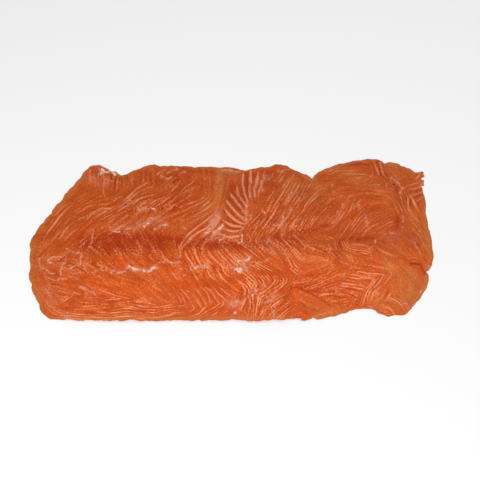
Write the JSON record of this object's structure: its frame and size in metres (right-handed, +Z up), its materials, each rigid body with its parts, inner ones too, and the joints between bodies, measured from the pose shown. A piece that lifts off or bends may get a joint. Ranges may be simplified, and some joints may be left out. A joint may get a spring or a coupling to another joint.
{
  "type": "sliced smoked salmon fillet",
  "caption": "Whole side of smoked salmon, cut in large thin overlapping slices and laid back in the shape of the fillet.",
  "frame": {"origin": "middle of the whole part's bounding box, on the face that the fillet rests on", "axes": "+X along the fillet from the narrow end to the wide end, +Y across it from the back edge to the belly edge, +Z up"},
  "size_m": [0.4764, 0.2026, 0.0167],
  "materials": {
    "core_flesh": "moist",
    "slice_flesh": "moist, slightly oily"
  },
  "bodies": {
    "root": {"fillet_core": "core_flesh", "slice_wide_end_belly": "slice_flesh", "slice_wide_end_back": "slice_flesh", "slice_broad": "slice_flesh", "slice_back_flap": "slice_flesh", "slice_striped": "slice_flesh", "slice_long": "slice_flesh", "slice_corner_flap": "slice_flesh"}
  },
  "joints": []
}
